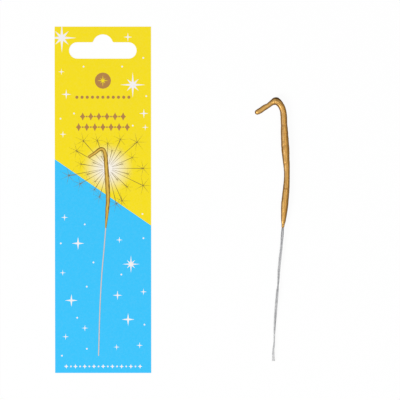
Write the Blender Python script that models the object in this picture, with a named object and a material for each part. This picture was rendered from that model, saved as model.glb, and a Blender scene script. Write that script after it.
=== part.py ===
"""A number sparkler in the shape of a 1, laid flat beside the hang card it is sold with.

Lengths are in metres. +X runs across the pair, +Y up the card and the sparkler, and +Z up from
the table they lie on. The origin is on the table, at the middle of the pair.
"""

import math

import bmesh
import bpy
import numpy as np
from mathutils import Vector, noise
from mathutils.geometry import interpolate_bezier

MM = 0.001

# The hang card: one flat board with a euro slot
CARD_WIDTH = 50 * MM
CARD_HEIGHT = 180 * MM
CARD_THICKNESS = 0.45 * MM
SLOT_WIDTH = 35.1 * MM
SLOT_HEIGHT = 8.5 * MM
SLOT_DROP = 12.35 * MM
DOME_RADIUS = 5.3 * MM
DOME_RISE = 4.1 * MM
DOME_FILLET = 0.9 * MM

# Where the sparkler lies: its hook is this far from the card, its neck this far below the middle
SET_GAP = 53.85 * MM
NECK_DROP = 14 * MM

# The sparkler's middle line: the wire stem, the shaft of the 1, and the hook at its top
STEM_LENGTH = 69.7 * MM
STEM_SWAY = 5.0 * MM
SHAFT_LENGTH = 59.6 * MM
SHAFT_BOW = 2.0 * MM
BEND_HEIGHT = 5.6 * MM
HOOK_REACH = 13.4 * MM

# The two wires, loosely twisted round each other, and spread a little at the foot and below the coat
STRAND_DIAMETER = 0.65 * MM
STRAND_GAP = 0.05 * MM
STEM_TURNS = 1.1
TWIST_PITCH = 30 * MM
SPLAY = 0.08 * MM
SPLAY_LENGTH = 2.5 * MM
OPENING = 0.13 * MM
OPENING_LENGTH = 8 * MM

# The paste dipped on the wires, and the gold skin over it
COAT_DIAMETER = 3.5 * MM
COAT_WALL = 0.25 * MM
NECK_WALL = 0.15 * MM
PIECE_GAP = 0.05 * MM
PASTE_START = 4.2 * MM
PASTE_EDGE = 0.12 * MM
TIP_COVER = 2.2 * MM
KNOB_SIZE = 1.6 * MM
KNOB_SHARE = 0.08

# Distance between the rings that the wires, the paste and the skin are lofted through
RING_STEP = 1.1 * MM

# Points down the stem, foot first: sway to the left and drop below the neck
STEM_SHARES = (
    (0.95, 1.0), (0.98, 0.93), (0.89, 0.87), (0.86, 0.79), (0.79, 0.69), (0.61, 0.52),
    (0.48, 0.42), (0.41, 0.33), (0.3, 0.24), (0.16, 0.15),
)

# Turns of the pair up the stem, as shares of all of them, at each share of the way from the foot
TWIST_SHARES = (
    (0.0, 0.02), (0.03, 0.08), (0.08, 0.17), (0.14, 0.22), (0.26, 0.31), (0.33, 0.4),
    (0.48, 0.48), (0.53, 0.56), (0.58, 0.74), (0.63, 0.83), (0.7, 0.9), (0.88, 1.0),
)

# Points up the shaft from the neck: bow to the right and height
SHAFT_SHARES = (
    (0.0, 0.0), (0.16, 0.06), (0.48, 0.2), (0.89, 0.35), (1.03, 0.44),
    (0.98, 0.52), (0.77, 0.61), (0.5, 0.75), (0.28, 0.9), (0.1, 1.0),
)

# Points round the bend and down the hook: reach to the left of the shaft's top, and rise above it
HOOK_SHARES = (
    (0.07, 0.52), (0.18, 0.9), (0.29, 1.03), (0.42, 0.91), (0.58, 0.63),
    (0.73, 0.43), (0.88, 0.18), (1.09, -0.1),
)

# Thickness of the coat along the numeral, from the neck to the hook's tip
COAT_SHARES = (
    (0.0, 0.43), (0.018, 0.5), (0.043, 0.68), (0.095, 0.9), (0.145, 1.05), (0.2, 1.02),
    (0.253, 0.97), (0.305, 0.87), (0.358, 0.85), (0.41, 0.96), (0.462, 1.06), (0.513, 1.17),
    (0.567, 1.13), (0.62, 1.08), (0.673, 0.96), (0.724, 0.96), (0.755, 0.93), (0.79, 0.95),
    (0.817, 1.08), (0.84, 1.16), (0.865, 0.91), (0.893, 0.74), (0.925, 0.81), (0.957, 0.82), (1.0, 0.75),
)

# Resolution: samples of each stretch of a smooth line, sides of a tube, and steps of an arc
LINE_SAMPLES = 12
COAT_SIDES = 16
STRAND_SIDES = 8
DOME_STEPS = 4
ARC_STEPS = 12

PAIR_RADIUS = STRAND_DIAMETER + STRAND_GAP / 2
BORE_RADIUS = PAIR_RADIUS + PIECE_GAP
LIE_HEIGHT = COAT_DIAMETER / 2 * max(share for _, share in COAT_SHARES)
TIP_HEIGHT = COAT_DIAMETER / 2 * COAT_SHARES[-1][1]


def clear_scene():
    for thing in list(bpy.data.objects):
        bpy.data.objects.remove(thing, do_unlink=True)


def add_object(name, mesh, finish):
    """An object made of a finished bmesh, in the finish given."""
    bmesh.ops.recalc_face_normals(mesh, faces=mesh.faces)
    data = bpy.data.meshes.new(name)
    mesh.to_mesh(data)
    mesh.free()
    data.materials.append(finish)
    piece = bpy.data.objects.new(name, data)
    bpy.context.collection.objects.link(piece)
    return piece


def make_finish(name, colour, roughness, metallic):
    finish = bpy.data.materials.new(name)
    finish.use_nodes = True
    shader = finish.node_tree.nodes["Principled BSDF"]
    shader.inputs["Base Color"].default_value = (*colour, 1)
    shader.inputs["Roughness"].default_value = roughness
    shader.inputs["Metallic"].default_value = metallic
    return finish


def arc(middle, radius, start, end, steps):
    """Points on an arc between two angles, both ends included."""
    angles = [start + (end - start) * step / steps for step in range(steps + 1)]
    return [(middle[0] + radius * math.cos(a), middle[1] + radius * math.sin(a)) for a in angles]


def slot_outline():
    """The euro slot: a round-ended slot with a filleted dome over its middle."""
    middle = CARD_HEIGHT / 2 - SLOT_DROP
    top = middle + SLOT_HEIGHT / 2
    dome_middle = top + DOME_RISE - DOME_RADIUS
    fillet_middle = top + DOME_FILLET
    rise = fillet_middle - dome_middle
    reach = math.sqrt((DOME_RADIUS + DOME_FILLET) ** 2 - rise ** 2)
    lean = math.atan2(rise, reach)
    end = (SLOT_WIDTH - SLOT_HEIGHT) / 2
    quarter = math.pi / 2
    steps = ARC_STEPS // 3
    outline = arc((end, middle), SLOT_HEIGHT / 2, -quarter, quarter, ARC_STEPS)
    outline += arc((reach, fillet_middle), DOME_FILLET, -quarter, lean - math.pi, steps)
    outline += arc((0, dome_middle), DOME_RADIUS, lean, math.pi - lean, ARC_STEPS)[1:-1]
    outline += arc((-reach, fillet_middle), DOME_FILLET, -lean, -quarter, steps)
    outline += arc((-end, middle), SLOT_HEIGHT / 2, quarter, 3 * quarter, ARC_STEPS)
    return outline


def hang_card():
    """The board: a square-cornered sheet filled round the slot and given its thickness."""
    across = CARD_WIDTH / 2
    up = CARD_HEIGHT / 2
    border = [(-across, -up), (across, -up), (across, up), (-across, up)]
    mesh = bmesh.new()
    edges = []
    for outline in (border, slot_outline()):
        corners = [mesh.verts.new((x, y, 0)) for x, y in outline]
        edges += [mesh.edges.new(ends) for ends in zip(corners, corners[1:] + corners[:1])]
    bmesh.ops.triangle_fill(mesh, edges=edges, use_beauty=True)
    raised = bmesh.ops.extrude_face_region(mesh, geom=mesh.faces[:])["geom"]
    corners = [part for part in raised if isinstance(part, bmesh.types.BMVert)]
    bmesh.ops.translate(mesh, verts=corners, vec=(0, 0, CARD_THICKNESS))
    return add_object("hang_card", mesh, make_finish("printed_board", (0.24, 0.58, 0.97), 0.45, 0))


def smooth_samples(points):
    """Close samples of a smooth line through the points, as many in each stretch."""
    padded = [points[0]] + points + [points[-1]]
    samples = [points[0]]
    for before, start, end, after in zip(padded, padded[1:], padded[2:], padded[3:]):
        handle = (end - start).length / 3
        leave = start + (end - before).normalized() * handle
        arrive = end - (after - start).normalized() * handle
        samples += interpolate_bezier(start, leave, arrive, end, LINE_SAMPLES + 1)[1:]
    return samples


def sparkler_points():
    """The middle line's own points, from the stem's foot to the hook's tip, neck at the origin."""
    stem_fall = LIE_HEIGHT - PAIR_RADIUS
    hook_fall = LIE_HEIGHT - TIP_HEIGHT
    points = []
    for sway, drop in STEM_SHARES:
        points.append(Vector((-sway * STEM_SWAY, -drop * STEM_LENGTH, LIE_HEIGHT - drop * stem_fall)))
    for bow, height in SHAFT_SHARES:
        points.append(Vector((bow * SHAFT_BOW, height * SHAFT_LENGTH, LIE_HEIGHT)))
    shaft_top = points[-1]
    for reach, rise in HOOK_SHARES:
        step = Vector((-reach * HOOK_REACH, rise * BEND_HEIGHT, -reach ** 2 * hook_fall))
        points.append(shaft_top + step)
    return points


class MiddleLine:
    """The sparkler's middle line, read by the distance from the stem's foot."""

    def __init__(self):
        self.places = np.array(smooth_samples(sparkler_points()))
        lengths = np.linalg.norm(np.diff(self.places, axis=0), axis=1)
        self.distances = np.concatenate(([0], np.cumsum(lengths)))
        self.neck = self.distances[LINE_SAMPLES * len(STEM_SHARES)]
        self.tip = self.distances[-1]

    def place(self, distance):
        return Vector([np.interp(distance, self.distances, column) for column in self.places.T])

    def frame(self, distance):
        """The place, the direction across the line in the table's plane, and the one square to both."""
        along = self.place(distance + RING_STEP / 2) - self.place(distance - RING_STEP / 2)
        side = along.cross(Vector((0, 0, 1))).normalized()
        return self.place(distance), side, side.cross(along).normalized()

    def stations(self, start, end):
        """Distances for rings, a step apart on one grid, with both ends."""
        first = math.ceil(start / RING_STEP + 0.25)
        last = math.floor(end / RING_STEP - 0.25)
        return [start] + [RING_STEP * count for count in range(first, last + 1)] + [end]


def sweep(profile, frame, sides, radius_at=None):
    """A closed mesh from a profile of distances and radii, turned round a bent line.

    The profile starts and ends on the line, where its radius is 0. radius_at may change a
    radius by the distance and the angle round the line.
    """
    mesh = bmesh.new()
    rings = []
    for distance, radius in profile:
        middle, side, up = frame(distance)
        ring = []
        for count in range(sides if radius else 1):
            angle = math.tau * count / sides
            reach = radius_at(distance, angle, radius) if radius_at and radius else radius
            ring.append(mesh.verts.new(middle + (side * math.cos(angle) + up * math.sin(angle)) * reach))
        rings.append(ring)
    for ring, after in zip(rings, rings[1:]):
        for count in range(sides):
            near = [ring[count % len(ring)], ring[(count + 1) % sides % len(ring)]]
            far = [after[(count + 1) % sides % len(after)], after[count % len(after)]]
            mesh.faces.new(dict.fromkeys(near + far))
    for face in mesh.faces:
        face.smooth = True
    return mesh


def pair_turn(line, distance):
    """The angle the pair has turned by at a distance: uneven up the stem, even inside the coat."""
    places, shares = zip(*TWIST_SHARES)
    on_stem = STEM_TURNS * np.interp(distance / line.neck, places, shares)
    return math.tau * (on_stem + max(0, distance - line.neck) / TWIST_PITCH)


def pair_offset(line, distance):
    """How far each wire lies from the middle line, with the two places where the pair opens."""
    splay = SPLAY * max(0, 1 - distance / SPLAY_LENGTH) ** 2
    below_neck = min(1, max(0, (line.neck - distance) / OPENING_LENGTH))
    return (STRAND_DIAMETER + STRAND_GAP) / 2 + splay + OPENING * math.sin(math.pi * below_neck)


def wire_strand(name, line, turn, finish):
    """One of the two wires, wound round the middle line from the foot to inside the hook."""
    end = line.tip - TIP_COVER - PIECE_GAP

    def strand_frame(distance):
        middle, side, up = line.frame(distance)
        angle = turn + pair_turn(line, distance)
        offset = pair_offset(line, distance)
        return middle + (side * math.cos(angle) + up * math.sin(angle)) * offset, side, up

    rings = [(distance, STRAND_DIAMETER / 2) for distance in line.stations(0, end)]
    mesh = sweep([(0, 0)] + rings + [(end, 0)], strand_frame, STRAND_SIDES)
    return add_object(name, mesh, finish)


def coat_thickness(line):
    """A function that gives the coat's outer radius at a distance from the stem's foot."""
    knots = smooth_samples([Vector((place, share, 0)) for place, share in COAT_SHARES])
    places = [knot.x for knot in knots]
    shares = [knot.y for knot in knots]

    def radius(distance):
        above_neck = distance - line.neck
        share = np.interp(above_neck / (line.tip - line.neck), places, shares)
        skinned = PASTE_EDGE + PIECE_GAP + COAT_WALL
        least = BORE_RADIUS + (skinned if above_neck >= PASTE_START else NECK_WALL)
        return max(COAT_DIAMETER / 2 * share, least)

    return radius


def knobbly(distance, angle, radius):
    """The radius with the small swellings of a dipped coat, which fade out at the wires."""
    round_about = Vector((0, math.cos(angle), math.sin(angle))) * COAT_DIAMETER / 2
    swell = noise.noise((Vector((distance, 0, 0)) + round_about) / KNOB_SIZE)
    return radius + (radius - BORE_RADIUS) * KNOB_SHARE * swell


def rounded_end(end, radius):
    """Profile points that round off a tube's end, the last one on the line."""
    angles = [math.pi / 2 * step / DOME_STEPS for step in range(DOME_STEPS)]
    ring_points = [(end - radius * (1 - math.sin(a)), radius * math.cos(a)) for a in angles]
    return ring_points + [(end, 0)]


def coat_layer(line, start, inset):
    """The profile of a surface this far inside the coat's outer one, from start to the tip."""
    outer = coat_thickness(line)
    end = line.tip - inset
    end_radius = outer(line.tip) - inset
    stations = line.stations(start, end - end_radius)[:-1]
    return [(place, max(outer(place) - inset, BORE_RADIUS)) for place in stations] + rounded_end(
        end, end_radius
    )


def gold_coat(line):
    """The gold skin: open where the wires come out at the neck, closed round the hook's tip."""
    outside = coat_layer(line, line.neck, 0)
    inside = coat_layer(line, line.neck, COAT_WALL)
    mesh = sweep(inside[::-1] + outside, line.frame, COAT_SIDES, knobbly)
    return add_object("gold_coat", mesh, make_finish("gold_paint", (0.55, 0.3, 0.09), 0.42, 0.75))


def spark_compound(line):
    """The paste inside the skin, with the blind bore that the twisted wires fill."""
    start = line.neck + PASTE_START
    bore_end = line.tip - TIP_COVER
    bore = [(place, BORE_RADIUS) for place in line.stations(start, bore_end)]
    outside = coat_layer(line, start, COAT_WALL + PIECE_GAP)
    mesh = sweep([(bore_end, 0)] + bore[::-1] + outside, line.frame, COAT_SIDES, knobbly)
    return add_object("spark_compound", mesh, make_finish("spark_paste", (0.16, 0.155, 0.15), 0.85, 0))


def corners_of(pieces):
    return np.array([vertex.co for piece in pieces for vertex in piece.data.vertices])


def place(name, location, pieces):
    """Puts pieces that belong together on one empty."""
    holder = bpy.data.objects.new(name, None)
    holder.location = location
    bpy.context.collection.objects.link(holder)
    for piece in pieces:
        piece.parent = holder


def build():
    clear_scene()
    line = MiddleLine()
    steel = make_finish("bright_wire", (0.42, 0.42, 0.41), 0.38, 1)
    sparkler = [
        wire_strand("wire_strand_a", line, 0, steel),
        wire_strand("wire_strand_b", line, math.pi, steel),
        spark_compound(line),
        gold_coat(line),
    ]
    lowest = corners_of(sparkler).min(axis=0)
    highest = corners_of(sparkler).max(axis=0)
    left = -(CARD_WIDTH + SET_GAP + highest[0] - lowest[0]) / 2
    place("card_place", (left + CARD_WIDTH / 2, 0, 0), [hang_card()])
    place("sparkler_place", (left + CARD_WIDTH + SET_GAP - lowest[0], -NECK_DROP, -lowest[2]), sparkler)


build()
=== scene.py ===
"""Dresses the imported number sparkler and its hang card, and lights them from the lower left.

Lengths are in metres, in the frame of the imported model: +X from the card to the sparkler, +Y up
the card, and +Z up from the table. The printed shapes are placed from the middle of the card.
"""

import math

import bmesh
import bpy
import numpy as np
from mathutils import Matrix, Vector, noise
from mathutils.geometry import interpolate_bezier


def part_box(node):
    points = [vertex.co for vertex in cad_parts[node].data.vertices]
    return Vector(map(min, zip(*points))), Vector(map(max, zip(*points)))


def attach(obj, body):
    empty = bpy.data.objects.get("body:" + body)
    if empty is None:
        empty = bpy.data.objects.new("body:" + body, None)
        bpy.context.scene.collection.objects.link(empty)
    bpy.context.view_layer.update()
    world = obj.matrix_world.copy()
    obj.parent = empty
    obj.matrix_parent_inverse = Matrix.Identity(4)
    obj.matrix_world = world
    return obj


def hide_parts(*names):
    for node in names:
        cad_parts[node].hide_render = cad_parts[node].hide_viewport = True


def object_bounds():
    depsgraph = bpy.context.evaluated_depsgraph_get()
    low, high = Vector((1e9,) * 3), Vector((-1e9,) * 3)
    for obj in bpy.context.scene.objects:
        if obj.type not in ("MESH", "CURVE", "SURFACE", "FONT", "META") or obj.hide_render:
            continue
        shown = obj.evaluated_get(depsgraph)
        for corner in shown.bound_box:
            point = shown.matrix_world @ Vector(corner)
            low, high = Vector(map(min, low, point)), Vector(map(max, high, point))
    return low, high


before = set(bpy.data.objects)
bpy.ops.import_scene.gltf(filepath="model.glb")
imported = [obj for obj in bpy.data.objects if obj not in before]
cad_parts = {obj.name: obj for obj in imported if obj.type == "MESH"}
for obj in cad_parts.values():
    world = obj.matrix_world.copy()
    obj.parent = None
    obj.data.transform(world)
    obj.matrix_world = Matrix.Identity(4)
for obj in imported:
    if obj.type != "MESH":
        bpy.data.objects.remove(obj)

MM = 0.001
packed_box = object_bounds()
card_low, card_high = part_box("hang_card")
CARD_MIDDLE = (card_low + card_high) / 2
CARD_FRONT = card_high.z
CARD_ACROSS = (card_high.x - card_low.x) / 2
CARD_UP = (card_high.y - card_low.y) / 2

# Camera: what the picture's width covers, where it looks, and its lean from straight above
PICTURE_WIDTH = 207.9 * MM
LOOK_AT = Vector((14.42 * MM, 0.05 * MM, 0))
CAMERA_LEAN = math.radians(1.5)
CAMERA_LENS = 200
CAMERA_SENSOR = 36

# Light: soft lamps above the lower left and overhead, each with its share, and the room's own
LAMPS = ((Vector((-1.9, -1.5, 1.9)), 0.46), (Vector((0.9, 0.1, 2.7)), 0.29))
LAMP_SIZE = 1.4
ROOM_LIGHT = 0.26
FLOOR_SIZE = 4
FLOOR_DROP = 0.02 * MM
FLOOR_BOUNCE = 0.35
FLOOR_GLOW = 0.93

# The sparkler's middle line, as in the part's source: stem, shaft and hook, with the neck's place
NECK_PLACE = Vector((57.428 * MM, -14 * MM, 0.017 * MM))
STEM_LENGTH = 69.7 * MM
STEM_SWAY = 5.0 * MM
SHAFT_LENGTH = 59.6 * MM
SHAFT_BOW = 2.0 * MM
BEND_HEIGHT = 5.6 * MM
HOOK_REACH = 13.4 * MM
STEM_SHARES = (
    (0.95, 1.0), (0.98, 0.93), (0.89, 0.87), (0.86, 0.79), (0.79, 0.69), (0.61, 0.52),
    (0.48, 0.42), (0.41, 0.33), (0.3, 0.24), (0.16, 0.15),
)
SHAFT_SHARES = (
    (0.0, 0.0), (0.16, 0.06), (0.48, 0.2), (0.89, 0.35), (1.03, 0.44),
    (0.98, 0.52), (0.77, 0.61), (0.5, 0.75), (0.28, 0.9), (0.1, 1.0),
)
HOOK_SHARES = (
    (0.07, 0.52), (0.18, 0.9), (0.29, 1.03), (0.42, 0.91), (0.58, 0.63),
    (0.73, 0.43), (0.88, 0.18), (1.09, -0.1),
)

# The two wires and the coat on them, as in the part's source
STRAND_DIAMETER = 0.65 * MM
STRAND_GAP = 0.05 * MM
STEM_TURNS = 1.1
TWIST_PITCH = 30 * MM
SPLAY = 0.08 * MM
SPLAY_LENGTH = 2.5 * MM
OPENING = 0.13 * MM
OPENING_LENGTH = 8 * MM
TWIST_SHARES = (
    (0.0, 0.02), (0.03, 0.08), (0.08, 0.17), (0.14, 0.22), (0.26, 0.31), (0.33, 0.4),
    (0.48, 0.48), (0.53, 0.56), (0.58, 0.74), (0.63, 0.83), (0.7, 0.9), (0.88, 1.0),
)
# Where the wires cross, and the reach of the painted shade there
CROSSING_SHARE = 0.553
CROSSING_REACH = 4.5 * MM
CROSSING_CORE = CROSSING_REACH / 4
COAT_DIAMETER = 3.5 * MM
COAT_WALL = 0.25 * MM
NECK_WALL = 0.15 * MM
PIECE_GAP = 0.05 * MM
PASTE_START = 4.2 * MM
PASTE_EDGE = 0.12 * MM
TIP_COVER = 2.2 * MM
KNOB_SIZE = 1.6 * MM
KNOB_SHARE = 0.08
COAT_SHARES = (
    (0.0, 0.43), (0.018, 0.5), (0.043, 0.68), (0.095, 0.9), (0.145, 1.05), (0.2, 1.02),
    (0.253, 0.97), (0.305, 0.87), (0.358, 0.85), (0.41, 0.96), (0.462, 1.06), (0.513, 1.17),
    (0.567, 1.13), (0.62, 1.08), (0.673, 0.96), (0.724, 0.96), (0.755, 0.93), (0.79, 0.95),
    (0.817, 1.08), (0.84, 1.16), (0.865, 0.91), (0.893, 0.74), (0.925, 0.81), (0.957, 0.82), (1.0, 0.75),
)

# The fine coat: grain, ring marks above the neck, and slanting ridges on the hook
GRAIN_SIZE = 0.5 * MM
GRAIN_DEPTH = 0.05 * MM
RING_MARKS_SHARES = (
    (20.1 * MM, 1.5), (33.1 * MM, 0.4), (42.2 * MM, 0.5),
    (46.8 * MM, 0.7), (48.8 * MM, 0.6), (52.9 * MM, 0.9),
)
MARK_WIDTH = 0.3 * MM
MARK_DEPTH = 0.07 * MM
MARK_PATCHY_SHARE = 0.6
HUG_LENGTH = 3.5 * MM
HUG_GAP = 0.02 * MM
HUG_SHARE = 0.4
RIDGE_START = 64 * MM
RIDGE_PITCH = 1.0 * MM
RIDGE_DEPTH = 0.03 * MM
RIDGE_SLANT = 2
# Share of painted shade between the hook's ridges
RIDGE_SHADE_SHARE = 0.15

# Flats on the bend's crown: heading and lift of each in degrees, and its distance from the middle
CROWN_MIDDLE = Vector((54.4 * MM, 51.0 * MM, 2.05 * MM))
CROWN_REACH = 4.5 * MM
CROWN_FLATS = (
    (82, 0, 2.4 * MM), (38, 0, 1.95 * MM), (122, 40, 1.9 * MM), (75, 45, 1.74 * MM), (40, 40, 1.6 * MM),
)
CROWN_CUT = 0.2 * MM
CROWN_ROUGH = 0.05 * MM
# Where the crown is darkened by wear and by painted shade on its outer side, and how far
WEAR_AND_SHADE_PLACE = (54.9 * MM, 52.8 * MM, 2.2 * MM)
WEAR_AND_SHADE_REACH = 2.8 * MM
WEAR_AND_SHADE_CORE = WEAR_AND_SHADE_REACH / 3

# Resolution: samples of each stretch of a line, ring steps, and sides
LINE_SAMPLES = 12
TURN_STEP = 1.1 * MM
COAT_STEP = 0.2 * MM
COAT_SIDES = 48
STRAND_STEP = 0.3 * MM
STRAND_SIDES = 16
DOME_STEPS = 10

# The print: ink films on the card with their overprints, and the slanting edge of its two colours
FILM = 0.02 * MM
SINK = 0.01 * MM
LAYER = 0.002 * MM
SPARK_LAYERS = 2
STEM_LAYERS = 3
NUMERAL_LAYERS = 6
SLANT_MIDDLE = 4.0 * MM
SLANT_FALL = 0.688
GLOW_PLACE = (2.4 * MM, 16.5 * MM)
GLOW_RADIUS = 14 * MM
GLOW_CORE = 1.4 * MM

# Twinkles as shares of the card's half width and half height, with each one's reach
BIG_TWINKLES_SHARES = ((-0.85, 0.935, 7.6 * MM), (0.62, 0.665, 6.6 * MM), (0.58, -0.37, 4.6 * MM))
TWINKLES_SHARES = (
    (0.52, 0.94, 2.3 * MM), (-0.76, 0.61, 2.6 * MM), (-0.86, 0.74, 1.7 * MM), (0.85, 0.5, 2.5 * MM),
    (-0.83, 0.38, 1.8 * MM), (0.88, 0.42, 1.7 * MM), (-0.52, -0.25, 3.3 * MM), (-0.66, -0.58, 3.3 * MM),
    (0.52, -0.69, 3.3 * MM), (-0.8, -0.1, 1.8 * MM), (0.34, -0.23, 1.7 * MM), (-0.84, -0.42, 1.6 * MM),
    (0.84, -0.53, 1.8 * MM), (-0.38, -0.74, 1.7 * MM), (0.3, -0.55, 2.5 * MM), (-0.78, -0.79, 1.7 * MM),
    (0.76, -0.84, 1.7 * MM), (0.28, -0.85, 1.6 * MM),
)
DOTS_SHARES = (
    (0.84, 0.82), (-0.4, 0.77), (0.9, 0.6), (-0.6, 0.5), (-0.88, 0.47), (0.62, 0.43), (0.4, 0.77),
    (-0.38, -0.14), (0.84, -0.22), (-0.88, -0.25), (-0.34, -0.5), (0.38, -0.43), (-0.54, -0.68),
    (0.86, -0.72), (-0.86, -0.9), (-0.34, -0.86), (0.82, -0.08), (-0.2, -0.36),
)
DOT_RADIUS = 0.45 * MM
TWINKLE_WAIST_SHARE = 0.2
BIG_WAIST_SHARE = 0.22
BIG_SHORT_SHARE = 0.66

# The burst round the printed numeral
BURST_REACHES = (
    18.5 * MM, 8 * MM, 14 * MM, 20.5 * MM, 11 * MM, 16.5 * MM, 9.5 * MM, 13 * MM, 15.5 * MM, 7 * MM, 19 * MM,
)
BURST_RAYS = 27
BURST_SHIFT_SHARE = 0.3
BURST_START = 2.4 * MM
RAY_WIDTH = 0.32 * MM
RAY_TAPER_SHARE = 0.3
SPARK_SHARE = 0.25
SPARK_POINTS = 7
SPARK_WAIST_SHARE = 0.045

# The printed numeral and its stem, in points from the card's middle
NUMERAL_POINTS = (
    (-7.6 * MM, 22.2 * MM), (-4.0 * MM, 24.6 * MM), (-1.5 * MM, 26.4 * MM), (0.1 * MM, 26.2 * MM),
    (1.2 * MM, 23.6 * MM), (1.7 * MM, 18 * MM), (2.2 * MM, 10 * MM), (2.6 * MM, 1 * MM), (2.2 * MM, -5 * MM),
    (1.4 * MM, -14.4 * MM),
)
NUMERAL_WIDTHS = (
    1.4 * MM, 1.7 * MM, 1.9 * MM, 2.0 * MM, 2.1 * MM, 2.25 * MM, 2.4 * MM, 2.2 * MM, 2.0 * MM, 0.8 * MM,
)
STEM_POINTS = (
    (1.5 * MM, -13.5 * MM), (0.45 * MM, -26 * MM), (-0.7 * MM, -39 * MM),
    (-1.6 * MM, -55 * MM), (-2.4 * MM, -81 * MM),
)
STEM_WIDTH = 0.62 * MM
ACROSS_STEPS = 6

# Rows of plain ornament: height on the card, spacing, how many, and each one's reach
BADGE_HEIGHT = 62 * MM
BADGE_RADIUS = 4.2 * MM
BADGE_WINDOW = 3.0 * MM
ORNAMENT_ROWS = ((43.4 * MM, 4.2 * MM, 6, 2.1 * MM), (37.9 * MM, 4.2 * MM, 7, 2.1 * MM))
ORNAMENT_SLIM_SHARE = 0.71
ORNAMENT_WAIST_SHARE = 0.45
BEAD_ROW = (53.4 * MM, 2.7 * MM, 11, 0.8 * MM)
FOOT_ROW = (-86.6 * MM, 2.4 * MM, 17, 1.15 * MM)
FOOT_WAIST_SHARE = 0.41
FOOT_DOT_SHARE = 0.39
CIRCLE_SIDES = 24

# Where the gold and the wires change tone, as shares of the length that each follows
HOOK_PALE_SHARES = (0.2, 0.6)
NECK_PALE_SHARES = (0.3, 0.36)
OUTER_SHARES = (0.1, 0.4)
WIRE_UPPER_SHARES = (0.7, 0.78)
WIRE_NECK_SHARES = (0.9, 0.95)
WIRE_FOOT_SHARES = (0, 0.1)

# How far the gold is painted darker as shade by the way it faces, from -1 to 1, and by how much
SIDE_FACINGS = (0.5, 0.95)
SIDE_SHARE = 0.75
HOOK_SIDE_SHARE = 1.3
UNDER_FACINGS = (-0.1, 0.4)
UNDER_SHARE = 0.4
RIM_FACINGS = (-0.95, -0.6)
RIM_SHARE = 0.45
# Painted shade: the gold is darker and browner where it faces right, away from the lamps
FLANK_SHADE_FACINGS = (-0.45, 0.15)
HOOK_FLANK_SHADE_SHARE = 0.15
STREAK_SHARE = 0.35
# Dark of the marks, with painted shade in their grooves
MARK_AND_GROOVE_SHADE_SHARE = 0.9
# Darkening of the crown by wear and painted shade
WEAR_AND_SHADE_SHARE = 0.9
WEAR_AND_SHADE_GRAIN_SHARE = 0.7
FACING_WAVER = 0.08

# Shaded ink: where it lightens and darkens, from a line's left side, -1, to its right side, 1
INK_LIGHT_SHARES = (-0.9, 0.1)
INK_DARK_SHARES = (-0.1, 0.95)
INK_WAVER = 0.15
INK_PATCH_SHARE = 0.5

# The noise in each finish: its size, stretch and share of the colour, and its relief's depth
CLOUD_SIZE = 14 * MM
SPECKLE_SIZE = 0.4 * MM
SPECKLE_DEPTH = 0.006 * MM
MOTTLE_SIZE = 0.9 * MM
MOTTLE_SHARE = 0.02
SHEEN_SIZE = 6 * MM
INK_CLOUD_SIZE = 1.3 * MM
INK_SHEEN_SIZE = 2 * MM
INK_WAVER_SIZE = 3 * MM
INK_PATCH_SIZE = 1.5 * MM
INK_DEPTH = 0.005 * MM
GOLD_STREAK_SIZE = 0.5 * MM
GOLD_STREAK_STRETCH = (0.12, 1, 1)
GOLD_PATCH_SIZE = 2.2 * MM
GOLD_GRAIN_SIZE = 0.28 * MM
GOLD_DEPTH = 0.012 * MM
WIRE_STREAK_SIZE = 0.3 * MM
WIRE_STREAK_STRETCH = (0.03, 1, 1)
WIRE_STREAK_SHARE = 0.35
WIRE_SPOT_SIZE = 1.6 * MM
WIRE_SPOT_STRETCH = (1, 0.3, 0.3)
WIRE_SPOT_SHARE = 0.13
WIRE_DEPTH = 0.003 * MM
SMEAR_SIZE = 0.5 * MM
SMEAR_WAVER = 0.5 * MM
SMEAR_REACH = 0.4 * MM
PASTE_GRAIN_SIZE = 0.25 * MM
PASTE_SPECK_SIZE = 0.12 * MM
PASTE_DEPTH = 0.05 * MM

# The part of a noise's range over which it makes each change
NOISE_RANGE = (0.3, 0.7)
MOTTLE_RANGE = (0.35, 0.75)
INK_PATCH_RANGE = (0.3, 0.8)
GOLD_PATCH_RANGE = (0.35, 0.65)
GOLD_STREAK_RANGE = (0.4, 0.7)
WEAR_AND_SHADE_GRAIN_RANGE = (0.3, 0.6)
WIRE_SPOT_RANGE = (0.4, 0.6)
PASTE_SPECK_RANGE = (0.68, 0.74)

# Gloss, metal and roughness of the finishes, the last as its lowest and highest
PRINT_GLOSS = 0.1
GOLD_GLOSS = 0.05
GOLD_METAL = 0.35
PASTE_GLOSS = 0.2
WIRE_METAL = 0.5
SMEAR_METAL = 0.3
BOARD_ROUGHNESS = (0.36, 0.48)
INK_ROUGHNESS = (0.36, 0.5)
GOLD_ROUGHNESS = (0.3, 0.42)
WIRE_ROUGHNESS = (0.5, 0.6)
PASTE_ROUGHNESS = (0.75, 0.95)

PAIR_RADIUS = STRAND_DIAMETER + STRAND_GAP / 2
BORE_RADIUS = PAIR_RADIUS + PIECE_GAP
LIE_HEIGHT = COAT_DIAMETER / 2 * max(share for _, share in COAT_SHARES)
TIP_HEIGHT = COAT_DIAMETER / 2 * COAT_SHARES[-1][1]


def tone(red, green, blue):
    """A colour given by its levels on a screen, 0 to 255, as the shaders take it."""
    levels = [level / 255 for level in (red, green, blue)]
    linear = [c / 12.92 if c <= 0.04045 else ((c + 0.055) / 1.055) ** 2.4 for c in levels]
    return (*linear, 1)
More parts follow.
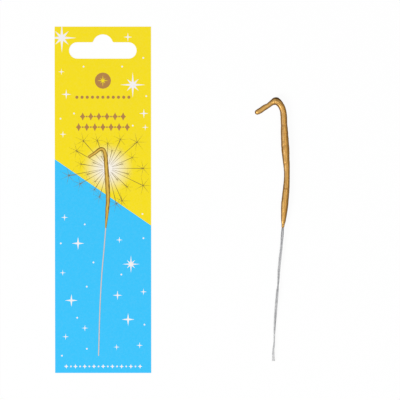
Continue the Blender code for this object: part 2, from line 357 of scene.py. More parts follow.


# Colours of the card and its inks, the gold with its painted shades, the wires with theirs, and the paste
CARD_YELLOWS = (tone(251, 228, 22), tone(247, 223, 26))
CARD_BLUES = (tone(58, 198, 253), tone(57, 199, 255))
GLOW_TONE = tone(252, 246, 236)
BOARD_TONES = (tone(226, 222, 212), tone(246, 244, 238))
MOTTLE_TONE = tone(250, 250, 244)
BARE_BOARD_ROUGHNESS = tone(215, 215, 215)
WHITE_INKS = (tone(244, 240, 241), tone(250, 248, 248))
BROWN_INKS = (tone(172, 124, 66), tone(188, 140, 84))
BURST_INKS = (tone(120, 102, 50), tone(142, 122, 66))
GOLD_INKS = (tone(112, 82, 20), tone(206, 160, 56), tone(240, 198, 88))
GREY_INKS = (tone(158, 148, 146), tone(204, 202, 202), tone(238, 236, 236))
GOLD_TONES = (tone(194, 152, 90), tone(206, 165, 108))
GOLD_GLINT = tone(232, 190, 110)
PALE_GOLD = tone(210, 167, 99)
# Painted shade on the gold's right side
FLANK_SHADE_GOLD = tone(182, 137, 72)
STREAK_GOLD = tone(154, 108, 46)
# The marks' dark colour with painted shade in the grooves
MARK_AND_GROOVE_SHADE_GOLD = tone(134, 86, 38)
# Painted shade on the gold's sides and along its left rim
SIDE_SHADE_GOLD = tone(96, 58, 8)
RIM_SHADE_GOLD = tone(104, 68, 12)
# Wear with painted shade on the crown's outer side
WORN_AND_SHADED_GOLD = tone(60, 40, 12)
WIRE_TONE = tone(181, 181, 182)
# Painted shade where the wires cross
WIRE_CROSSING_SHADE_TONE = tone(147, 147, 149)
WIRE_UPPER_TONE = tone(171, 171, 173)
WIRE_NECK_TONE = tone(144, 144, 146)
WIRE_FOOT_TONE = tone(196, 196, 196)
WIRE_STREAK_TONE = tone(140, 140, 143)
WIRE_SPOT_TONES = (tone(104, 104, 107), tone(222, 222, 222))
SMEAR_TONE = tone(150, 104, 48)
PASTE_TONES = (tone(84, 82, 80), tone(140, 138, 134))
PASTE_SPECK_TONE = tone(214, 212, 206)


class Paint:
    """A material whose nodes are added by short calls, with coordinates in metres."""

    def __init__(self, name, settings):
        self.material = bpy.data.materials.new(name)
        self.material.use_nodes = True
        self.tree = self.material.node_tree
        self.shader = self.tree.nodes["Principled BSDF"]
        self.place = self.add("ShaderNodeTexCoord", {}, "Object")
        self.finish(settings)

    def finish(self, settings):
        for name, value in settings.items():
            self.feed(self.shader.inputs[name], value)

    def feed(self, socket, value):
        if isinstance(value, bpy.types.NodeSocket):
            self.tree.links.new(value, socket)
        else:
            socket.default_value = value

    def add(self, kind, inputs, output=0, **settings):
        """Adds a node, sets or links its inputs, and gives one of its outputs."""
        node = self.tree.nodes.new(kind)
        for name, value in settings.items():
            setattr(node, name, value)
        for name, value in inputs.items():
            self.feed(node.inputs[name], value)
        return node.outputs[output]

    def math(self, operation, first, second=0):
        return self.add("ShaderNodeMath", {0: first, 1: second}, operation=operation)

    def split(self, vector, axis):
        return self.add("ShaderNodeSeparateXYZ", {0: vector}, axis)

    def stretched(self, vector, scale):
        return self.add("ShaderNodeVectorMath", {0: vector, 1: scale}, operation="MULTIPLY")

    def noise(self, size, detail, vector=None):
        inputs = {"Vector": vector or self.place, "Scale": 1 / size, "Detail": detail}
        return self.add("ShaderNodeTexNoise", inputs)

    def fade(self, value, low, high, start=0, end=1):
        """A smooth change from start to end while the value goes from low to high."""
        inputs = {"Value": value, "From Min": low, "From Max": high, "To Min": start, "To Max": end}
        return self.add("ShaderNodeMapRange", inputs, interpolation_type="SMOOTHSTEP")

    def vary(self, value, start, end):
        """A change from start to end over the range in which most of a noise lies."""
        return self.fade(value, *NOISE_RANGE, start, end)

    def mix(self, share, first, second):
        return self.add("ShaderNodeMix", {0: share, 6: first, 7: second}, 2, data_type="RGBA")

    def bump(self, height, depth):
        return self.add("ShaderNodeBump", {"Height": height, "Distance": depth, "Strength": 1})

    def facing(self, axis="Z"):
        """How far the surface faces along an axis of the table's frame, from -1 to 1."""
        return self.split(self.add("ShaderNodeTexCoord", {}, "Normal"), axis)


def places_at(length, shares):
    """The places at these shares of a length."""
    return [length * share for share in shares]


def card_print(paint):
    """The front's two colours with the slanting edge between them, and the pale glow."""
    across = paint.math("SUBTRACT", paint.split(paint.place, "X"), CARD_MIDDLE.x)
    up = paint.math("SUBTRACT", paint.split(paint.place, "Y"), CARD_MIDDLE.y)
    edge = paint.math("SUBTRACT", SLANT_MIDDLE, paint.math("MULTIPLY", across, SLANT_FALL))
    above = paint.math("GREATER_THAN", up, edge)
    cloud = paint.noise(CLOUD_SIZE, 3)
    yellow = paint.mix(cloud, *CARD_YELLOWS)
    blue = paint.mix(cloud, *CARD_BLUES)
    aside = paint.math("POWER", paint.math("SUBTRACT", across, GLOW_PLACE[0]), 2)
    away = paint.math("POWER", paint.math("SUBTRACT", up, GLOW_PLACE[1]), 2)
    distance = paint.math("SQRT", paint.math("ADD", aside, away))
    glow = paint.fade(distance, GLOW_CORE, GLOW_RADIUS, 1, 0)
    lit = paint.mix(glow, yellow, GLOW_TONE)
    return paint.mix(above, blue, lit)


def printed_board():
    """Coated board: printed in front, bare at the back and on the cut edges."""
    paint = Paint("printed_board", {"Specular IOR Level": PRINT_GLOSS})
    speckle = paint.noise(SPECKLE_SIZE, 3)
    board = paint.mix(speckle, *BOARD_TONES)
    front = paint.math("GREATER_THAN", paint.facing(), 0.5)
    mottle = paint.fade(paint.noise(MOTTLE_SIZE, 4), *MOTTLE_RANGE, 0, MOTTLE_SHARE)
    inked = paint.mix(mottle, card_print(paint), MOTTLE_TONE)
    sheen = paint.vary(paint.noise(SHEEN_SIZE, 4), *BOARD_ROUGHNESS)
    rough = paint.mix(front, BARE_BOARD_ROUGHNESS, sheen)
    grain = paint.bump(speckle, SPECKLE_DEPTH)
    paint.finish({"Base Color": paint.mix(front, board, inked), "Roughness": rough, "Normal": grain})
    return paint.material


def plain_ink(name, tones):
    """Flat ink with a little unevenness."""
    paint = Paint(name, {"Specular IOR Level": PRINT_GLOSS})
    colour = paint.mix(paint.noise(INK_CLOUD_SIZE, 3), *tones)
    rough = paint.vary(paint.noise(INK_SHEEN_SIZE, 3), *INK_ROUGHNESS)
    grain = paint.bump(paint.noise(SPECKLE_SIZE, 3), INK_DEPTH)
    paint.finish({"Base Color": colour, "Roughness": rough, "Normal": grain})
    return paint.material


def shaded_ink(name, edge, body, light):
    """Ink that is printed rounded: darker along both sides of a line, lightest left of its middle."""
    paint = Paint(name, {"Specular IOR Level": PRINT_GLOSS})
    across = paint.add("ShaderNodeAttribute", {}, "Fac", attribute_name="across")
    waver = paint.vary(paint.noise(INK_WAVER_SIZE, 3), -INK_WAVER, INK_WAVER)
    wavy = paint.math("ADD", across, waver)
    lit = paint.mix(paint.fade(wavy, *INK_LIGHT_SHARES), edge, light)
    shaded = paint.mix(paint.fade(wavy, *INK_DARK_SHARES), lit, edge)
    patches = paint.fade(paint.noise(INK_PATCH_SIZE, 3), *INK_PATCH_RANGE, 0, INK_PATCH_SHARE)
    colour = paint.mix(patches, shaded, body)
    rough = paint.vary(paint.noise(INK_SHEEN_SIZE, 3), *INK_ROUGHNESS)
    paint.finish({"Base Color": colour, "Roughness": rough})
    return paint.material


def even_gold(paint, along, on_hook, streaks):
    """The lacquer before the shade on its sides: paler at both ends, painted darker on its right as shade,
    streaked, and darker in its scored marks, with painted shade in their grooves.
    """
    patches = paint.fade(paint.noise(GOLD_PATCH_SIZE, 3), *GOLD_PATCH_RANGE)
    gold = paint.mix(patches, *GOLD_TONES)
    by_neck = paint.fade(along, *places_at(SHAFT_LENGTH, NECK_PALE_SHARES), 1, 0)
    paler = paint.mix(paint.math("MAXIMUM", on_hook, by_neck), gold, PALE_GOLD)
    # Painted shade on the right side, less of it on the hook
    right = paint.fade(paint.facing("X"), *FLANK_SHADE_FACINGS)
    flank_shade = paint.math("MULTIPLY", right, paint.fade(on_hook, 0, 1, 1, HOOK_FLANK_SHADE_SHARE))
    flank_shaded = paint.mix(flank_shade, paler, FLANK_SHADE_GOLD)
    dull = paint.fade(streaks, *GOLD_STREAK_RANGE, 0, STREAK_SHARE)
    streaked = paint.mix(dull, flank_shaded, STREAK_GOLD)
    # Depth in the marks and grooves, painted darker as the marks' colour and as shade
    marked = paint.add("ShaderNodeAttribute", {}, "Fac", attribute_name="marked")
    return paint.mix(paint.math("MULTIPLY", marked, MARK_AND_GROOVE_SHADE_SHARE), streaked, MARK_AND_GROOVE_SHADE_GOLD)


def side_shade_gold(paint, gold, on_hook, grains):
    """The lacquer with painted shade on its sides and a painted dark rim of shade on its left."""
    waver = paint.vary(grains, -FACING_WAVER, FACING_WAVER)
    uneven = paint.math("ADD", paint.facing(), waver)
    side = paint.fade(uneven, *SIDE_FACINGS, SIDE_SHARE, 0)
    upper = paint.math("MULTIPLY", side, paint.fade(on_hook, 0, 1, 1, HOOK_SIDE_SHARE))
    # Painted shade on the sides, less of it on faces turned down
    thin = paint.math("MULTIPLY", upper, paint.fade(uneven, *UNDER_FACINGS, UNDER_SHARE, 1))
    side_shaded = paint.mix(thin, gold, SIDE_SHADE_GOLD)
    # Painted shade along the left rim
    left = paint.fade(paint.facing("X"), *RIM_FACINGS, RIM_SHARE, 0)
    return paint.mix(left, side_shaded, RIM_SHADE_GOLD)


def worn_and_shaded_crown(paint, route, grains):
    """How much wear and painted shade darken the lacquer: only on the outer side of the bend's crown."""
    inputs = {0: paint.place, 1: WEAR_AND_SHADE_PLACE}
    away = paint.add("ShaderNodeVectorMath", inputs, "Value", operation="DISTANCE")
    near = paint.fade(away, WEAR_AND_SHADE_CORE, WEAR_AND_SHADE_REACH, WEAR_AND_SHADE_SHARE, 0)
    wear_and_shade = paint.math("MULTIPLY", near, paint.fade(grains, *WEAR_AND_SHADE_GRAIN_RANGE, WEAR_AND_SHADE_GRAIN_SHARE))
    # Painted shade: only the crown's outer side, which faces away from the lamps
    outer = paint.fade(paint.split(route, "Y"), *places_at(COAT_DIAMETER, OUTER_SHARES))
    return paint.math("MULTIPLY", wear_and_shade, outer)


def gold_paint():
    """Gold lacquer on a rough coat: streaked, with painted shade on its sides, and dark on the crown with
    wear and painted shade.
    """
    gloss = {"Metallic": GOLD_METAL, "Specular IOR Level": GOLD_GLOSS, "Specular Tint": GOLD_GLINT}
    paint = Paint("gold_paint", gloss)
    route = paint.add("ShaderNodeAttribute", {}, "Vector", attribute_name="route")
    streaks = paint.noise(GOLD_STREAK_SIZE, 3, paint.stretched(route, GOLD_STREAK_STRETCH))
    grains = paint.noise(GOLD_GRAIN_SIZE, 3)
    along = paint.math("SUBTRACT", paint.split(route, "X"), STEM_LENGTH)
    hook_start, hook_end = places_at(HOOK_REACH, HOOK_PALE_SHARES)
    on_hook = paint.fade(along, SHAFT_LENGTH + hook_start, SHAFT_LENGTH + hook_end)
    gold = even_gold(paint, along, on_hook, streaks)
    shaded = side_shade_gold(paint, gold, on_hook, grains)
    colour = paint.mix(worn_and_shaded_crown(paint, route, grains), shaded, WORN_AND_SHADED_GOLD)
    rough = paint.vary(grains, *GOLD_ROUGHNESS)
    relief = paint.bump(paint.math("ADD", grains, streaks), GOLD_DEPTH)
    paint.finish({"Base Color": colour, "Roughness": rough, "Normal": relief})
    return paint.material


def plain_zinc(paint, along):
    """The wires' grey before its streaks: painted shade where they cross, dark by the coat, light at the
    foot.
    """
    from_crossing = paint.math("ABSOLUTE", paint.math("SUBTRACT", along, STEM_LENGTH * CROSSING_SHARE))
    # Painted shade where the wires cross
    crossing_shade = paint.fade(from_crossing, CROSSING_CORE, CROSSING_REACH, 1, 0)
    shaded = paint.mix(crossing_shade, WIRE_TONE, WIRE_CROSSING_SHADE_TONE)
    high = paint.fade(along, *places_at(STEM_LENGTH, WIRE_UPPER_SHARES))
    upper = paint.mix(high, shaded, WIRE_UPPER_TONE)
    highest = paint.fade(along, *places_at(STEM_LENGTH, WIRE_NECK_SHARES))
    by_neck = paint.mix(highest, upper, WIRE_NECK_TONE)
    low = paint.fade(along, *places_at(STEM_LENGTH, WIRE_FOOT_SHARES), 1, 0)
    return paint.mix(low, by_neck, WIRE_FOOT_TONE)


def bright_wire():
    """Zinc-bright wire with long dull streaks and small spots, smeared with gold inside the coat."""
    paint = Paint("bright_wire", {})
    route = paint.add("ShaderNodeAttribute", {}, "Vector", attribute_name="route")
    along = paint.split(route, "X")
    streaks = paint.noise(WIRE_STREAK_SIZE, 2, paint.stretched(route, WIRE_STREAK_STRETCH))
    streaked = paint.vary(streaks, 0, WIRE_STREAK_SHARE)
    dulled = paint.mix(streaked, plain_zinc(paint, along), WIRE_STREAK_TONE)
    dents = paint.noise(WIRE_SPOT_SIZE, 2, paint.stretched(route, WIRE_SPOT_STRETCH))
    spots = paint.mix(paint.fade(dents, *WIRE_SPOT_RANGE), *WIRE_SPOT_TONES)
    zinc = paint.mix(WIRE_SPOT_SHARE, dulled, spots)
    waver = paint.vary(paint.noise(SMEAR_SIZE, 2), -SMEAR_WAVER, SMEAR_WAVER)
    edge = paint.math("ADD", along, waver)
    smear = paint.fade(edge, STEM_LENGTH - SMEAR_REACH, STEM_LENGTH + SMEAR_REACH)
    colour = paint.mix(smear, zinc, SMEAR_TONE)
    metal = paint.fade(smear, 0, 1, WIRE_METAL, SMEAR_METAL)
    rough = paint.vary(streaks, *WIRE_ROUGHNESS)
    relief = paint.bump(streaks, WIRE_DEPTH)
    paint.finish({"Base Color": colour, "Metallic": metal, "Roughness": rough, "Normal": relief})
    return paint.material


def spark_paste():
    """Dry grey firework paste with bright metal grains."""
    paint = Paint("spark_paste", {"Specular IOR Level": PASTE_GLOSS})
    grains = paint.noise(PASTE_GRAIN_SIZE, 4)
    grey = paint.mix(grains, *PASTE_TONES)
    specks = paint.fade(paint.noise(PASTE_SPECK_SIZE, 1), *PASTE_SPECK_RANGE)
    colour = paint.mix(specks, grey, PASTE_SPECK_TONE)
    rough = paint.vary(grains, *PASTE_ROUGHNESS)
    relief = paint.bump(grains, PASTE_DEPTH)
    paint.finish({"Base Color": colour, "Roughness": rough, "Normal": relief})
    return paint.material


def add_object(name, mesh, finish, body):
    """A finished mesh as a piece that rides on a body and takes a slot's finish."""
    bmesh.ops.recalc_face_normals(mesh, faces=mesh.faces)
    data = bpy.data.meshes.new(name)
    mesh.to_mesh(data)
    mesh.free()
    data.materials.append(finish)
    piece = bpy.data.objects.new(name, data)
    bpy.context.collection.objects.link(piece)
    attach(piece, body)
    return piece


def smooth_samples(points):
    """Close samples of a smooth line through the points, as many in each stretch."""
    padded = [points[0]] + points + [points[-1]]
    samples = [points[0]]
    for before, start, end, after in zip(padded, padded[1:], padded[2:], padded[3:]):
        handle = (end - start).length / 3
        leave = start + (end - before).normalized() * handle
        arrive = end - (after - start).normalized() * handle
        samples += interpolate_bezier(start, leave, arrive, end, LINE_SAMPLES + 1)[1:]
    return samples


def sparkler_points():
    """The middle line's own points, from the stem's foot to the hook's tip."""
    stem_fall = LIE_HEIGHT - PAIR_RADIUS
    hook_fall = LIE_HEIGHT - TIP_HEIGHT
    points = []
    for sway, drop in STEM_SHARES:
        points.append(Vector((-sway * STEM_SWAY, -drop * STEM_LENGTH, LIE_HEIGHT - drop * stem_fall)))
    for bow, height in SHAFT_SHARES:
        points.append(Vector((bow * SHAFT_BOW, height * SHAFT_LENGTH, LIE_HEIGHT)))
    shaft_top = points[-1]
    for reach, rise in HOOK_SHARES:
        step = Vector((-reach * HOOK_REACH, rise * BEND_HEIGHT, -reach ** 2 * hook_fall))
        points.append(shaft_top + step)
    return [NECK_PLACE + point for point in points]


class MiddleLine:
    """The sparkler's middle line, read by the distance from the stem's foot."""

    def __init__(self):
        self.places = np.array(smooth_samples(sparkler_points()))
        lengths = np.linalg.norm(np.diff(self.places, axis=0), axis=1)
        self.distances = np.concatenate(([0], np.cumsum(lengths)))
        self.neck = self.distances[LINE_SAMPLES * len(STEM_SHARES)]
        self.tip = self.distances[-1]

    def place(self, distance):
        return Vector([np.interp(distance, self.distances, column) for column in self.places.T])

    def frame(self, distance):
        """The place, the direction across the line in the table's plane, and the one square to both."""
        along = self.place(distance + TURN_STEP / 2) - self.place(distance - TURN_STEP / 2)
        side = along.cross(Vector((0, 0, 1))).normalized()
        return self.place(distance), side, side.cross(along).normalized()


def stations(start, end, step):
    count = round((end - start) / step)
    return [start + (end - start) * number / count for number in range(count + 1)]


def join_rings(mesh, ring, after, sides, smooth):
    """The faces between two rings of corners, either of which may be a single one."""
    for count in range(sides):
        near = [ring[count % len(ring)], ring[(count + 1) % sides % len(ring)]]
        far = [after[(count + 1) % sides % len(after)], after[count % len(after)]]
        mesh.faces.new(dict.fromkeys(near + far)).smooth = smooth


def sweep(profile, frame_at, sides, radius_at=None):
    """A closed mesh from a profile of distances and radii, turned round a bent line.

    It is smooth but for its cut ends. Each vertex keeps its route: the distance along the line,
    and its way out from the line.
    """
    mesh = bmesh.new()
    route = mesh.verts.layers.float_vector.new("route")
    rings = []
    for distance, radius in profile:
        middle, side, up = frame_at(distance)
        ring = []
        for count in range(sides if radius else 1):
            angle = math.tau * count / sides
            reach = radius_at(distance, angle, radius) if radius_at and radius else radius
            corner = mesh.verts.new(middle + (side * math.cos(angle) + up * math.sin(angle)) * reach)
            corner[route] = (distance, reach * math.cos(angle), reach * math.sin(angle))
            ring.append(corner)
        rings.append(ring)
    distances = [float(distance) for distance, _ in profile]
    for ring, after, start, end in zip(rings, rings[1:], distances, distances[1:]):
        join_rings(mesh, ring, after, sides, start != end)
    return mesh


def pair_turn(line, distance):
    """The angle the pair has turned by at a distance: uneven up the stem, even inside the coat."""
    places, shares = zip(*TWIST_SHARES)
    on_stem = STEM_TURNS * np.interp(distance / line.neck, places, shares)
    return math.tau * (on_stem + max(0, distance - line.neck) / TWIST_PITCH)


def pair_offset(line, distance):
    """How far each wire lies from the middle line, with the two places where the pair opens."""
    splay = SPLAY * max(0, 1 - distance / SPLAY_LENGTH) ** 2
    below_neck = min(1, max(0, (line.neck - distance) / OPENING_LENGTH))
    return (STRAND_DIAMETER + STRAND_GAP) / 2 + splay + OPENING * math.sin(math.pi * below_neck)


def wire_strand(name, node, line, turn, finish):
    """One of the two wires, wound round the middle line from the foot to inside the hook."""
    end = line.tip - TIP_COVER - PIECE_GAP

    def strand_frame(distance):
        middle, side, up = line.frame(distance)
        angle = turn + pair_turn(line, distance)
        offset = pair_offset(line, distance)
        return middle + (side * math.cos(angle) + up * math.sin(angle)) * offset, side, up

    rings = [(distance, STRAND_DIAMETER / 2) for distance in stations(0, end, STRAND_STEP)]
    mesh = sweep([(0, 0)] + rings + [(end, 0)], strand_frame, STRAND_SIDES)
    piece = add_object(name, mesh, finish, "sparkler")
    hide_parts(node)


def coat_thickness(line):
    """A function that gives the coat's outer radius at a distance from the stem's foot."""
    knots = smooth_samples([Vector((place, share, 0)) for place, share in COAT_SHARES])
    places = [knot.x for knot in knots]
    shares = [knot.y for knot in knots]

    def radius(distance):
        above_neck = distance - line.neck
        share = np.interp(above_neck / (line.tip - line.neck), places, shares)
        skinned = PASTE_EDGE + PIECE_GAP + COAT_WALL
        least = BORE_RADIUS + (skinned if above_neck >= PASTE_START else NECK_WALL)
        return max(COAT_DIAMETER / 2 * share, least)

    return radius


def round_the_coat(distance, angle):
    """A point on a plain straight tube, to read the noise of the coat's surface at."""
    return Vector((distance, math.cos(angle) * COAT_DIAMETER / 2, math.sin(angle) * COAT_DIAMETER / 2))


def knobbly(distance, angle, radius):
    """The radius with the small swellings of a dipped coat, which fade out at the wires."""
    swell = noise.noise(round_the_coat(distance, angle) / KNOB_SIZE)
    return radius + (radius - BORE_RADIUS) * KNOB_SHARE * swell


def ring_mark(above_neck, around):
    """How deep in a ring mark a point lies, from 0 to the mark's own share."""
    slip = noise.noise(around / KNOB_SIZE) * MARK_WIDTH
    patchy = MARK_PATCHY_SHARE + noise.noise(around / (2 * KNOB_SIZE))
    depth = 0
    for place, share in RING_MARKS_SHARES:
        depth += share * patchy * math.exp(-(((above_neck - place + slip) / MARK_WIDTH) ** 2))
    return depth


def hook_ridge(above_neck, angle):
    """How deep between two of the hook's slanting ridges a point lies, from 0 to 1."""
    begun = min(1, max(0, (above_neck - RIDGE_START) / RIDGE_PITCH))
    return begun * (0.5 + math.sin(math.tau * above_neck / RIDGE_PITCH + RIDGE_SLANT * angle) / 2)


def coat_relief(line):
    """A function that adds the grain, the ring marks and the hook's ridges to the radius.

    At the neck the coat shrinks onto the two wires, so that it is as narrow as they are.
    """

    def radius_at(distance, angle, radius):
        around = round_the_coat(distance, angle)
        above_neck = distance - line.neck
        relief = GRAIN_DEPTH / 2 * noise.noise(around / GRAIN_SIZE)
        relief -= MARK_DEPTH * ring_mark(above_neck, around)
        relief -= RIDGE_DEPTH * (hook_ridge(above_neck, angle) - 0.5)
        solid = min(1, (radius - BORE_RADIUS) / COAT_WALL)
        swollen = knobbly(distance, angle, radius) + relief * solid
        spread = abs(math.cos(angle - pair_turn(line, distance)))
        wires = PAIR_RADIUS - STRAND_DIAMETER / 2 * (1 - spread)
        hugged = wires + HUG_GAP + (radius - BORE_RADIUS) * HUG_SHARE
        hug = max(0, 1 - above_neck / HUG_LENGTH) ** 2
        return swollen + (min(hugged, swollen) - swollen) * hug

    return radius_at


def rounded_end(end, radius):
    """Profile points that round off a tube's end, the last one on the line."""
    angles = [math.pi / 2 * step / DOME_STEPS for step in range(DOME_STEPS)]
    ring_points = [(end - radius * (1 - math.sin(a)), radius * math.cos(a)) for a in angles]
    return ring_points + [(end, 0)]


def coat_layer(line, inset):
    """The profile of a surface this far inside the coat's outer one."""
    outer = coat_thickness(line)
    end = line.tip - inset
    end_radius = outer(line.tip) - inset
    places = stations(line.neck, end - end_radius, COAT_STEP)[:-1]
    tube = [(place, max(outer(place) - inset, BORE_RADIUS)) for place in places]
    return tube + rounded_end(end, end_radius)


def shade_marks(mesh, line):
    """Tells the paint how deep in a ring mark or between two ridges each vertex lies, for the marks' dark
    colour with painted shade in the grooves.
    """
    route = mesh.verts.layers.float_vector["route"]
    marked = mesh.verts.layers.float.new("marked")
    for corner in mesh.verts:
        distance, aside, above = corner[route]
        angle = math.atan2(above, aside)
        above_neck = distance - line.neck
        ring = ring_mark(above_neck, round_the_coat(distance, angle))
        corner[marked] = min(1, ring + RIDGE_SHADE_SHARE * hook_ridge(above_neck, angle))


def keep_inside(mesh, box):
    """Presses what stands out of a box back to its sides."""
    low, high = box
    for corner in mesh.verts:
        corner.co = [min(max(value, least), most) for value, least, most in zip(corner.co, low, high)]


def cut_crown(mesh, first):
    """Presses the flats on the bend's crown, from one vertex on."""
    mesh.verts.ensure_lookup_table()
    for corner in mesh.verts[first:]:
        for heading, lift, distance in CROWN_FLATS:
            turn = math.radians(heading)
            level = math.cos(math.radians(lift))
            out = Vector((math.cos(turn) * level, math.sin(turn) * level, math.sin(math.radians(lift))))
            spot = corner.co - CROWN_MIDDLE
            near = min(1, max(0, 2 - 2 * spot.length / CROWN_REACH))
            depth = min(CROWN_CUT, spot.dot(out) - distance) * near
            if depth > 0:
                rough = CROWN_ROUGH * noise.noise(corner.co / GRAIN_SIZE)
                corner.co -= out * max(0, depth + rough)


def gold_coat(line, finish):
    """The gold skin: open where the wires come out at the neck, closed round the hook's tip."""
    outside = coat_layer(line, 0)
    inside = coat_layer(line, COAT_WALL)
    mesh = sweep(inside[::-1] + outside, line.frame, COAT_SIDES, coat_relief(line))
    shade_marks(mesh, line)
    cut_crown(mesh, len(inside) * COAT_SIDES)
    keep_inside(mesh, packed_box)
    piece = add_object("gold_skin", mesh, finish, "sparkler")
    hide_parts("gold_coat")


def star_outline(reaches, waist):
    """A star with a point for each reach, and a narrow waist between every two."""
    outline = []
    for number, reach in enumerate(reaches):
        turn = math.tau * number / len(reaches)
        between = turn + math.pi / len(reaches)
        outline.append((reach * math.cos(turn), reach * math.sin(turn)))
        outline.append((waist * math.cos(between), waist * math.sin(between)))
    return outline


def put_in_order(parts, place):
    """Sorts corners or faces by where they lie, because an extrusion's own order differs each run."""
    ranks = {part: rank for rank, part in enumerate(sorted(parts, key=place))}
    parts.sort(key=ranks.get)


class Ink:
    """Flat shapes of one ink, which lie on the card's front as a thin closed film."""

    def __init__(self):
        self.mesh = bmesh.new()
        self.across = self.mesh.verts.layers.float.new("across")

    def shape(self, outline, layer=0):
        self.mesh.faces.new([self.mesh.verts.new((x, y, layer * LAYER)) for x, y in outline])

    def star(self, x, y, reaches, waist, layer=0):
        self.shape([(x + across, y + up) for across, up in star_outline(reaches, waist)], layer)

    def dot(self, x, y, radius, layer=0):
        turns = [math.tau * side / CIRCLE_SIDES for side in range(CIRCLE_SIDES)]
        self.shape([(x + radius * math.cos(turn), y + radius * math.sin(turn)) for turn in turns], layer)

    def window_disc(self, x, y, radius, reaches, waist):
        """A disc with a star-shaped window, as a band from the rim to the star's outline."""
        star = star_outline(reaches, waist)
        rim = [math.tau * corner / len(star) for corner in range(len(star))]
        inner = [self.mesh.verts.new((x + across, y + up, 0)) for across, up in star]
        outer = [self.mesh.verts.new((x + radius * math.cos(t), y + radius * math.sin(t), 0)) for t in rim]
        for corner in range(len(star)):
            after = (corner + 1) % len(star)
            self.mesh.faces.new((outer[corner], outer[after], inner[after], inner[corner]))

    def ribbon(self, places, widths):
        """A line of changing width, whose vertices know how far across it they are."""
        rows = []
        for number, place in enumerate(places):
            ahead = places[min(number + 1, len(places) - 1)] - places[max(number - 1, 0)]
            side = ahead.cross(Vector((0, 0, 1))).normalized()
            row = []
            for step in range(ACROSS_STEPS + 1):
                across = 2 * step / ACROSS_STEPS - 1
                corner = self.mesh.verts.new(place + side * across * widths[number] / 2)
                corner[self.across] = across
                row.append(corner)
            rows.append(row)
        for row, after in zip(rows, rows[1:]):
            for step in range(ACROSS_STEPS):
                self.mesh.faces.new((row[step], row[step + 1], after[step + 1], after[step]))

    def press(self, name, finish, lift=0):
        """Crops the shapes at the card's edges and makes them a film on its front."""
        for side in (Vector((CARD_ACROSS, 0, 0)), Vector((0, CARD_UP, 0))):
            for edge in (side, -side):
                parts = self.mesh.verts[:] + self.mesh.edges[:] + self.mesh.faces[:]
                inward = edge * (1 - SINK / side.length)
                cut = {"plane_co": inward, "plane_no": edge, "clear_outer": True}
                bmesh.ops.bisect_plane(self.mesh, geom=parts, **cut)
        raised = bmesh.ops.extrude_face_region(self.mesh, geom=self.mesh.faces[:])["geom"]
        corners = [part for part in raised if isinstance(part, bmesh.types.BMVert)]
        bmesh.ops.translate(self.mesh, verts=corners, vec=(0, 0, FILM + SINK + lift))
        spot = (CARD_MIDDLE.x, CARD_MIDDLE.y, CARD_FRONT - SINK)
        bmesh.ops.translate(self.mesh, verts=self.mesh.verts[:], vec=spot)
        put_in_order(self.mesh.verts, lambda corner: corner.co[:])
        put_in_order(self.mesh.faces, lambda face: face.calc_center_median()[:])
        add_object(name, self.mesh, finish, "card")


def row_places(count, gap):
    """Where the marks of a row lie, from left to right about the card's middle."""
    return [(number - (count - 1) / 2) * gap for number in range(count)]


def white_print(finish):
    """The scattered twinkles and dots, and the row at the card's foot."""
    ink = Ink()
    for across, up, reach in BIG_TWINKLES_SHARES:
        reaches = [reach, reach * BIG_SHORT_SHARE] * 4
        ink.star(across * CARD_ACROSS, up * CARD_UP, reaches, reach * BIG_WAIST_SHARE)
    for across, up, reach in TWINKLES_SHARES:
        ink.star(across * CARD_ACROSS, up * CARD_UP, [reach] * 4, reach * TWINKLE_WAIST_SHARE)
    for across, up in DOTS_SHARES:
        ink.dot(across * CARD_ACROSS, up * CARD_UP, DOT_RADIUS)
    height, gap, count, reach = FOOT_ROW
    for number, x in enumerate(row_places(count, gap)):
        if number % 2:
            ink.dot(x, height, reach * FOOT_DOT_SHARE)
        else:
            ink.star(x, height, [reach] * 4, reach * FOOT_WAIST_SHARE)
    ink.press("print_white", finish)


def brown_print(finish):
    """The round badge and the rows of plain ornament."""
    ink = Ink()
    window = [BADGE_WINDOW, BADGE_WINDOW * BIG_SHORT_SHARE] * 4
    ink.window_disc(0, BADGE_HEIGHT, BADGE_RADIUS, window, BADGE_WINDOW * BIG_WAIST_SHARE)
    height, gap, count, reach = BEAD_ROW
    for x in row_places(count, gap):
        ink.dot(x, height, reach)
    for height, gap, count, reach in ORNAMENT_ROWS:
        slim_star = [reach * ORNAMENT_SLIM_SHARE, reach] * 2
        for number, x in enumerate(row_places(count, gap)):
            ink.star(x, height, slim_star, reach * ORNAMENT_WAIST_SHARE)
            if number < count - 1:
                ink.dot(x + gap / 2, height, DOT_RADIUS)
    ink.press("print_brown", finish)


def burst_print(finish):
    """The burst behind the numeral: rays of uneven length, each with a spark at its end."""
    ink = Ink()
    for number in range(BURST_RAYS):
        turn = math.tau * (number + BURST_SHIFT_SHARE * math.sin(number ** 2)) / BURST_RAYS
        reach = BURST_REACHES[number % len(BURST_REACHES)]
        out = Vector((math.cos(turn), math.sin(turn)))
        side = Vector((-out.y, out.x)) * RAY_WIDTH / 2
        middle = Vector(GLOW_PLACE)
        start = middle + out * BURST_START
        tip = middle + out * reach
        spark = reach * SPARK_SHARE
        ink.shape([start - side * RAY_TAPER_SHARE, tip - side, tip + side, start + side * RAY_TAPER_SHARE])
        ink.star(*tip, [spark] * SPARK_POINTS, spark * SPARK_WAIST_SHARE, SPARK_LAYERS)
    ink.press("print_burst", finish)


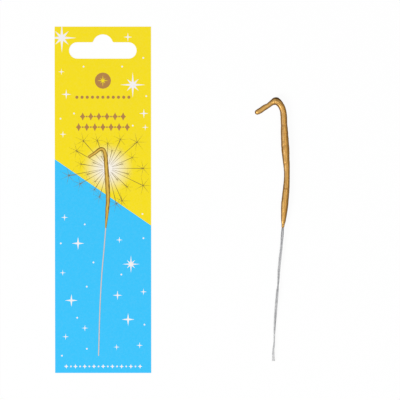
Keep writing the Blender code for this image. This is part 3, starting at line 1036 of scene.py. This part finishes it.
def numeral_print(gold, grey):
    """The printed numeral 1 and its stem."""
    stem = Ink()
    places = [Vector((x, y, 0)) for x, y in STEM_POINTS]
    stem.ribbon(smooth_samples(places), [STEM_WIDTH] * (LINE_SAMPLES * (len(places) - 1) + 1))
    stem.press("print_stem", grey, STEM_LAYERS * LAYER)
    numeral = Ink()
    places = smooth_samples([Vector((x, y, 0)) for x, y in NUMERAL_POINTS])
    spots = [number / LINE_SAMPLES for number in range(len(places))]
    widths = np.interp(spots, range(len(NUMERAL_WIDTHS)), NUMERAL_WIDTHS)
    numeral.ribbon(places, widths)
    numeral.press("print_numeral", gold, NUMERAL_LAYERS * LAYER)


def matt_grey(tree, level):
    shader = tree.nodes.new("ShaderNodeBsdfDiffuse")
    shader.inputs["Color"].default_value = (level, level, level, 1)
    return shader.outputs[0]


def floor_finish():
    """White but for a faint shadow where the camera sees it, and pale paper to all other light."""
    material = bpy.data.materials.new("floor")
    material.use_nodes = True
    tree = material.node_tree
    tree.nodes.remove(tree.nodes["Principled BSDF"])
    glow = tree.nodes.new("ShaderNodeEmission")
    glow.inputs["Strength"].default_value = FLOOR_GLOW
    both = tree.nodes.new("ShaderNodeAddShader")
    tree.links.new(matt_grey(tree, 1 - FLOOR_GLOW), both.inputs[0])
    tree.links.new(glow.outputs[0], both.inputs[1])
    choice = tree.nodes.new("ShaderNodeMixShader")
    tree.links.new(seen_directly(tree), choice.inputs[0])
    tree.links.new(matt_grey(tree, FLOOR_BOUNCE), choice.inputs[1])
    tree.links.new(both.outputs[0], choice.inputs[2])
    tree.links.new(choice.outputs[0], tree.nodes["Material Output"].inputs["Surface"])
    return material


def studio_floor():
    """One large square under the pair, just below it, so that no two faces share a plane."""
    mesh = bmesh.new()
    bmesh.ops.create_grid(mesh, x_segments=1, y_segments=1, size=FLOOR_SIZE / 2)
    data = bpy.data.meshes.new("floor")
    mesh.to_mesh(data)
    mesh.free()
    data.materials.append(floor_finish())
    floor = bpy.data.objects.new("floor", data)
    floor.location.z = -FLOOR_DROP
    bpy.context.collection.objects.link(floor)


def seen_directly(tree):
    """1 for what the camera sees, also in a reflection or through glass, and 0 for stray light."""
    path = tree.nodes.new("ShaderNodeLightPath")
    seen = path.outputs["Is Camera Ray"]
    for output in ("Is Glossy Ray", "Is Transmission Ray"):
        either = tree.nodes.new("ShaderNodeMath")
        either.operation = "MAXIMUM"
        tree.links.new(seen, either.inputs[0])
        tree.links.new(path.outputs[output], either.inputs[1])
        seen = either.outputs[0]
    return seen


def studio_light():
    """The room's light with a white backdrop, and the soft lamps."""
    world = bpy.data.worlds.new("studio")
    world.use_nodes = True
    tree = world.node_tree
    strength = tree.nodes.new("ShaderNodeMapRange")
    strength.inputs["To Min"].default_value = ROOM_LIGHT
    strength.inputs["To Max"].default_value = 1
    tree.links.new(seen_directly(tree), strength.inputs["Value"])
    background = tree.nodes["Background"]
    background.inputs["Color"].default_value = (1, 1, 1, 1)
    tree.links.new(strength.outputs[0], background.inputs["Strength"])
    bpy.context.scene.world = world
    for place, share in LAMPS:
        lamp = bpy.data.lights.new("soft_lamp", "AREA")
        lamp.size = LAMP_SIZE
        lamp.energy = share * math.pi ** 2 * place.length ** 3 / place.z
        holder = bpy.data.objects.new("soft_lamp", lamp)
        holder.location = place
        holder.rotation_euler = (-place).to_track_quat("-Z", "Y").to_euler()
        bpy.context.collection.objects.link(holder)


def studio_camera():
    """The camera above the pair, leaning a little back from its top edge."""
    camera = bpy.data.cameras.new("camera")
    camera.lens = CAMERA_LENS
    camera.sensor_width = CAMERA_SENSOR
    holder = bpy.data.objects.new("camera", camera)
    distance = PICTURE_WIDTH * CAMERA_LENS / CAMERA_SENSOR
    holder.location = LOOK_AT + Vector((0, math.sin(CAMERA_LEAN), math.cos(CAMERA_LEAN))) * distance
    holder.rotation_euler = (-CAMERA_LEAN, 0, 0)
    bpy.context.collection.objects.link(holder)
    bpy.context.scene.camera = holder


def dress_node(name, finish):
    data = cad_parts[name].data
    data.materials.clear()
    data.materials.append(finish)


def build():
    bpy.context.scene.view_settings.view_transform = "Standard"
    dress_node("hang_card", printed_board())
    dress_node("spark_compound", spark_paste())
    white_print(plain_ink("white_ink", WHITE_INKS))
    brown_print(plain_ink("brown_ink", BROWN_INKS))
    burst_print(plain_ink("burst_ink", BURST_INKS))
    numeral_print(shaded_ink("gold_ink", *GOLD_INKS), shaded_ink("grey_ink", *GREY_INKS))
    line = MiddleLine()
    wire = bright_wire()
    wire_strand("bright_strand_a", "wire_strand_a", line, 0, wire)
    wire_strand("bright_strand_b", "wire_strand_b", line, math.pi, wire)
    gold_coat(line, gold_paint())
    studio_floor()
    studio_light()
    studio_camera()


build()
